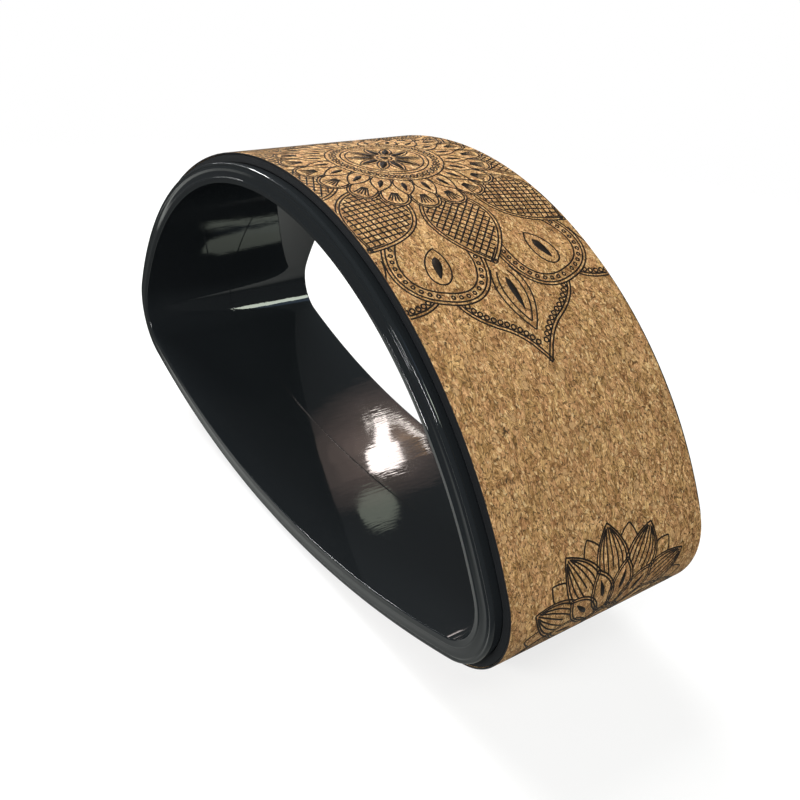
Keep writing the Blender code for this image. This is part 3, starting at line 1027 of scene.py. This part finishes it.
heart = both([inner_edge, parallel(inner_edge, 1.5)]) + [drop(22.0, 33.0, 1.4)]
between = both([bend((40.0, 5.0), (47.0, 8.0), (52.0, 5.0), (56.0, 0.0), 12)])
between = clip(between, [turned(area, 15) for area in blade_areas + [turned(blade_areas[0], -30)]]
               + [turned(area, -15) for area in hearts])
seed = [circle(10.4, 0, 1.25, 9)]
rounds = [circle(0, 0, 3.0, 14), circle(0, 0, 8.0, 32), circle(0, 0, 12.6, 48)]
rounds.append(circle(0, 0, 0.9, 8, 1.8 / STROKE_MM))
print(f"{len(blade) + len(heart) + len(between)} strokes in a corner petal")

# %% [markdown]
# ## Ink
# Ink is pressed through a screen on to the cork and dries matte and nearly black. It doesn't
# cover the deepest pores, so small worn places of a paler brown come and go along each line. A
# noise on the surface's own map gives them, so they follow the cork and not the strokes.

# %% Ink material
ink_brown, tree, output = new_material("printed_ink")
surface = add_node(tree, "ShaderNodeUVMap", uv_map="surface")
pores = add_node(tree, "ShaderNodeTexNoise", {
    "Vector": surface.outputs["UV"], "Scale": 1 / 0.0012, "Detail": 3.0, "Roughness": 0.6})
worn = add_node(tree, "ShaderNodeMapRange", {
    "Value": pores.outputs["Fac"], "From Min": 0.56, "From Max": 0.76,
    "To Min": 0.0, "To Max": 0.7})
ink_tone = add_node(tree, "ShaderNodeMix", {
    "Factor": worn.outputs["Result"], 6: linear("#15100c"), 7: linear("#4a3520"),
}, data_type="RGBA")
shader = add_node(tree, "ShaderNodeBsdfPrincipled", {
    "Base Color": ink_tone.outputs[2], "Roughness": 0.6, "IOR": 1.45})
tree.links.new(shader.outputs["BSDF"], output.inputs["Surface"])
print(f"{ink_brown.name}: {len(tree.nodes)} nodes")

# %% Places of the three ornaments
CROWN_OFFSET = 0.012
FLOWER_TIP = Vector((0.214, 0.108))
FLOWER_RADIUS = 0.058

walked = [0.0]
for start, end in zip(strip_outline, strip_outline[1:]):
    walked.append(walked[-1] + (end - start).length)
crown_middle = walked[max(range(len(walked)), key=lambda n: strip_outline[n].y)]
tip_along = walked[min(range(len(walked)), key=lambda n: (strip_outline[n] - FLOWER_TIP).length)]
right_flower = tip_along - FLOWER_RADIUS
left_flower = 2 * crown_middle - right_flower
print(f"crown at {crown_middle:.3f} m, flowers at {right_flower:.3f} and {left_flower:.3f} m")

# %% Print
# The ribbons reach from a little inside the cork to just under the wheel's outline
PRINT_TOP = 0.000005
PRINT_ROOT = 0.00003
PRINT_MARGIN = 0.0003
CROWN_RINGS = [
    (circles, 1, 0), (rosette, FOLDS, 0), (bead, 4 * FOLDS, 0), (lancet, 2 * FOLDS, 0),
    (arch, 2 * FOLDS, SECTOR / 4), (leaf, FOLDS, 0), (shell, FOLDS, SECTOR / 2),
    (ogee, FOLDS, 0),
]
FLOWER_RINGS = [
    (rounds, 1, 0), (seed, 2 * CORNER_FOLDS, 0), (heart, CORNER_FOLDS, 15),
    (blade, CORNER_FOLDS, 0), (between, CORNER_FOLDS, 15),
]


def print_ornament(rings, centre, sheet):
    """Prints the rings of one ornament round a place on the strip, into a common mesh."""
    for number, (lines, count, degrees) in enumerate(rings):
        in_metres = [[(p[0] / 1000, p[1] / 1000, *p[2:]) for p in line] for line in lines]
        motif_curve = flat_curve("motif", in_metres)
        ring_print = grow(f"ring_{number}", print_tree, {
            "Motif": motif_curve, "Strip": strip_path, "Count": count,
            "Turn": math.radians(degrees), "Centre": centre,
            "Stroke width": STROKE_MM / 1000, "Top inset": PRINT_TOP,
            "Bottom inset": INK_THICKNESS + PRINT_ROOT, "Reach limit": BAND_REACH - PRINT_MARGIN,
            "Material": ink_brown})
        sheet.from_mesh(ring_print.data)
        bpy.data.objects.remove(motif_curve)
        bpy.data.objects.remove(ring_print)


sheet = bmesh.new()
print_ornament(CROWN_RINGS, crown_middle - CROWN_OFFSET, sheet)
print_ornament(FLOWER_RINGS, right_flower, sheet)
print_ornament(FLOWER_RINGS, left_flower, sheet)
print_mesh = bpy.data.meshes.new("cork_print")
sheet.to_mesh(print_mesh)
sheet.free()
print_mesh.materials.append(ink_brown)
cork_print = bpy.data.objects.new("cork_print", print_mesh)
scene.collection.objects.link(cork_print)
print_mesh.calc_loop_triangles()
print(f"cork_print: {len(print_mesh.loop_triangles)} triangles")

# %% [markdown]
# ## Stage and light
# The wheel stands on pale paper in a white room. A sheet that curves up behind the object would
# do, but here the floor simply fades into the white surround, so no horizon cuts through the
# picture. Gloss mirrors what stands round it. A real studio is darker than its paper, so rays that
# don't come straight from the camera find darker tones.

# %% Floor
FLOOR_RADIUS = 1.6
floor_paper, tree, output = new_material("pale_paper")
place = add_node(tree, "ShaderNodeTexCoord")
from_middle = add_node(tree, "ShaderNodeVectorMath", {
    0: place.outputs["Object"]}, operation="LENGTH")
fade = add_node(tree, "ShaderNodeMapRange", {
    "Value": from_middle.outputs["Value"], "From Min": 0.55, "From Max": 1.10,
    "To Min": 0.0, "To Max": 1.0}, interpolation_type="SMOOTHSTEP")
rays = add_node(tree, "ShaderNodeLightPath")
# The gloss mirrors the floor painted dark, with painted light round the wheel and a painted bright
# spot far off
LIT_LENGTH = 0.26
LIT_WIDTH = 0.15
LIT_MIDDLE = 0.03
PAINTED_LIGHT_SPOT = (-0.72, -0.28, 0)
stretched = add_node(tree, "ShaderNodeVectorMath", {
    0: place.outputs["Object"], 1: (1 / LIT_LENGTH, 1 / LIT_WIDTH, 0),
    2: (-LIT_MIDDLE / LIT_LENGTH, 0, 0)}, operation="MULTIPLY_ADD")
from_wheel = add_node(tree, "ShaderNodeVectorMath", {
    0: stretched.outputs["Vector"]}, operation="LENGTH")
near = add_node(tree, "ShaderNodeMapRange", {
    "Value": from_wheel.outputs["Value"], "From Min": 1.4, "From Max": 0.7})
# The far spot is painted light, which the rims mirror as a painted reflection
from_spot = add_node(tree, "ShaderNodeVectorMath", {
    0: place.outputs["Object"], 1: PAINTED_LIGHT_SPOT}, operation="DISTANCE")
spot = add_node(tree, "ShaderNodeMapRange", {
    "Value": from_spot.outputs["Value"], "From Min": 0.11, "From Max": 0.03})
pale = add_node(tree, "ShaderNodeMath", {
    0: near.outputs["Result"], 1: spot.outputs["Result"]}, operation="MAXIMUM")
mirrored_tone_with_painted_light = add_node(tree, "ShaderNodeMix", {
    "Factor": pale.outputs["Value"], 6: linear("#313231"), 7: linear("#b6b8b4"),
}, data_type="RGBA")
paper_tone = add_node(tree, "ShaderNodeMix", {
    "Factor": rays.outputs["Is Camera Ray"], 6: mirrored_tone_with_painted_light.outputs[2], 7: linear("#f4f4f2"),
}, data_type="RGBA")
paper = add_node(tree, "ShaderNodeBsdfDiffuse", {"Color": paper_tone.outputs[2]})
glow = add_node(tree, "ShaderNodeEmission", {"Color": (1, 1, 1, 1)})
glow_share = add_node(tree, "ShaderNodeMath", {
    0: rays.outputs["Is Camera Ray"], 1: 0.75}, operation="MULTIPLY")
lit_paper = add_node(tree, "ShaderNodeMixShader", {
    0: glow_share.outputs["Value"], 1: paper.outputs["BSDF"], 2: glow.outputs["Emission"]})
clear = add_node(tree, "ShaderNodeBsdfTransparent")
mixed = add_node(tree, "ShaderNodeMixShader", {
    0: fade.outputs["Result"], 1: lit_paper.outputs["Shader"], 2: clear.outputs["BSDF"]})
tree.links.new(mixed.outputs["Shader"], output.inputs["Surface"])

floor_mesh = bpy.data.meshes.new("floor")
work = bmesh.new()
bmesh.ops.create_circle(work, cap_ends=True, segments=96, radius=FLOOR_RADIUS)
work.to_mesh(floor_mesh)
work.free()
floor_mesh.materials.append(floor_paper)
floor = bpy.data.objects.new("floor", floor_mesh)
scene.collection.objects.link(floor)
print(f"floor {2 * FLOOR_RADIUS:.1f} m across")

# %% Surround
world = bpy.data.worlds.new("studio")
world.use_nodes = True
tree = world.node_tree
tree.nodes.clear()
rays = add_node(tree, "ShaderNodeLightPath")
white = add_node(tree, "ShaderNodeBackground", {"Color": (1, 1, 1, 1), "Strength": 1.0})
room = add_node(tree, "ShaderNodeBackground", {"Color": linear("#f0f5f6"), "Strength": 0.085})
surround = add_node(tree, "ShaderNodeMixShader", {
    0: rays.outputs["Is Camera Ray"], 1: room.outputs["Background"], 2: white.outputs["Background"]})
add_node(tree, "ShaderNodeOutputWorld", {"Surface": surround.outputs["Shader"]})
scene.world = world
scene.view_settings.view_transform = "Standard"
print(f"surround of {len(tree.nodes)} nodes")

# %% [markdown]
# ## Lights
# Four broad lights give the soft light of a studio. Their mirror images are left out, because in
# a dark gloss they would cover everything else. What shows in the gloss are smaller and brighter
# lamps. Each is placed where the surface sends the eye: a narrow one gives a thin line on the rim.
# A light's power is worked out from its radiance and size, so a larger one isn't dimmer to look at.
# Places are given as azimuth and elevation in degrees and a distance in metres.

# %% Broad lights


def soft_light(name, azimuth, elevation, distance, size, radiance, colour="#ffffff",
               shape="RECTANGLE", roll=0.0, mirrored=True):
    """A soft light that faces the wheel; its mirror image in the gloss can be left out."""
    data = bpy.data.lights.new(name, "AREA")
    data.shape = shape
    data.size, data.size_y = size
    area = size[0] * size[1] * (math.pi / 4 if shape == "ELLIPSE" else 1)
    data.energy = radiance * math.pi * area
    data.color = linear(colour)[:3]
    light = bpy.data.objects.new(name, data)
    rise, swing = math.radians(elevation), math.radians(azimuth)
    aim = Vector((math.cos(rise) * math.cos(swing), math.cos(rise) * math.sin(swing), math.sin(rise)))
    turn = aim.to_track_quat("Z", "Y") @ Quaternion((0, 0, 1), math.radians(roll))
    light.location = Vector((0, 0, HEIGHT / 4)) + aim * distance
    light.rotation_euler = turn.to_euler()
    light.visible_camera = False
    light.visible_glossy = mirrored
    scene.collection.objects.link(light)


soft_light("ceiling", 172, 46, 1.8, (1.6, 1.6), 9.5, mirrored=False)
soft_light("fill", -45, 12, 1.9, (1.2, 1.2), 4.6, mirrored=False)
soft_light("right_fill", 5, 4, 1.9, (1.2, 1.2), 1.7, mirrored=False)
soft_light("key_lamp", -42, 54, 1.98, (0.55, 0.45), 8.5, mirrored=False)
print("four broad lights")

# %% Lamps that show in the gloss
soft_light("left_lamp", -172, 32.5, 1.7, (0.12, 0.28), 60)
soft_light("left_strip", -172, 28, 1.75, (0.05, 1.1), 13)
soft_light("front_lamp", -70.5, 34, 1.9, (0.58, 0.11), 74)
soft_light("low_lamp", -109, 4.5, 1.5, (0.20, 0.08), 45)
soft_light("back_right", 41.4, 49.3, 3.9, (0.75, 0.60), 15, "#e2ecda")
soft_light("sky", 62, 52, 1.8, (0.5, 0.5), 0.9, "#a8c8f0")
print("six lamps for the rims and the inner wall")

# %% [markdown]
# The floor of the ring mirrors a bright window behind the wheel: a pane, the arched bars over it,
# a sill, a curtain, and a warm glow on the wall around it that fades in five steps. Each is a lamp
# of its own, because a lamp has one brightness all over.

# %% Window behind the wheel
WINDOW_DISTANCE = 1.6
soft_light("window_pane", 143.7, 31.5, WINDOW_DISTANCE, (0.082, 0.092), 18, "#fff4ee",
           "ELLIPSE", 43)
soft_light("window_top", 142.0, 33.8, WINDOW_DISTANCE, (0.036, 0.074), 17, "#fff4ee", roll=40)
for number, (azimuth, elevation, length, roll) in enumerate((
        (141.6, 35.2, 0.062, 27), (140.0, 34.1, 0.044, 59), (139.4, 31.6, 0.106, 87))):
    soft_light(f"window_arch_{number}", azimuth, elevation, WINDOW_DISTANCE, (length, 0.010), 14,
               "#fff6ee", roll=roll)
soft_light("window_sill", 140.4, 30.8, WINDOW_DISTANCE, (0.080, 0.022), 1.6, "#e0b078", roll=60)
soft_light("window_curtain", 140.6, 32.2, WINDOW_DISTANCE + 0.01, (0.10, 0.10), 0.9, "#c09a80",
           "ELLIPSE")
for number, glow in enumerate((0.14, 0.20, 0.28, 0.38, 0.50)):
    soft_light(f"window_glow_{number}", 142.8, 33.2, WINDOW_DISTANCE + 0.02 + 0.01 * number,
               (glow, 0.8 * glow), 0.45, "#cbb0a4", "ELLIPSE")
soft_light("second_window", 147.7, 26.8, WINDOW_DISTANCE, (0.105, 0.125), 1.5, "#dce6d0",
           "ELLIPSE", 20)
soft_light("low_window", 150, 9, WINDOW_DISTANCE, (0.10, 0.10), 3.8, "#fff0ea")

# %% [markdown]
# ## Hand over
# Each piece is listed with the CAD node that it stands for and the name of its finish; it is put
# on the root body, and that node is hidden. The foam strip is full, because it is glued flat
# between two hard layers. The curves that the trees read are removed first, because a curve counts
# as a piece.

# %% Hand over to the frame
PIECES = [
    (front_moulding, "front_shell", "shell"),
    (rear_moulding, "rear_shell", "shell"),
    (foam_strip, "foam_band", "foam"),
    (cork_strip, "cork_band", "cork"),
    (cork_print, "cork_band", "print"),
]
for tool in (ring_path, strip_path, front_profile, rear_profile, foam_profile, cork_profile):
    bpy.data.objects.remove(tool)
for piece, node, slot in PIECES:
    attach(piece, "root")
    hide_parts(node)
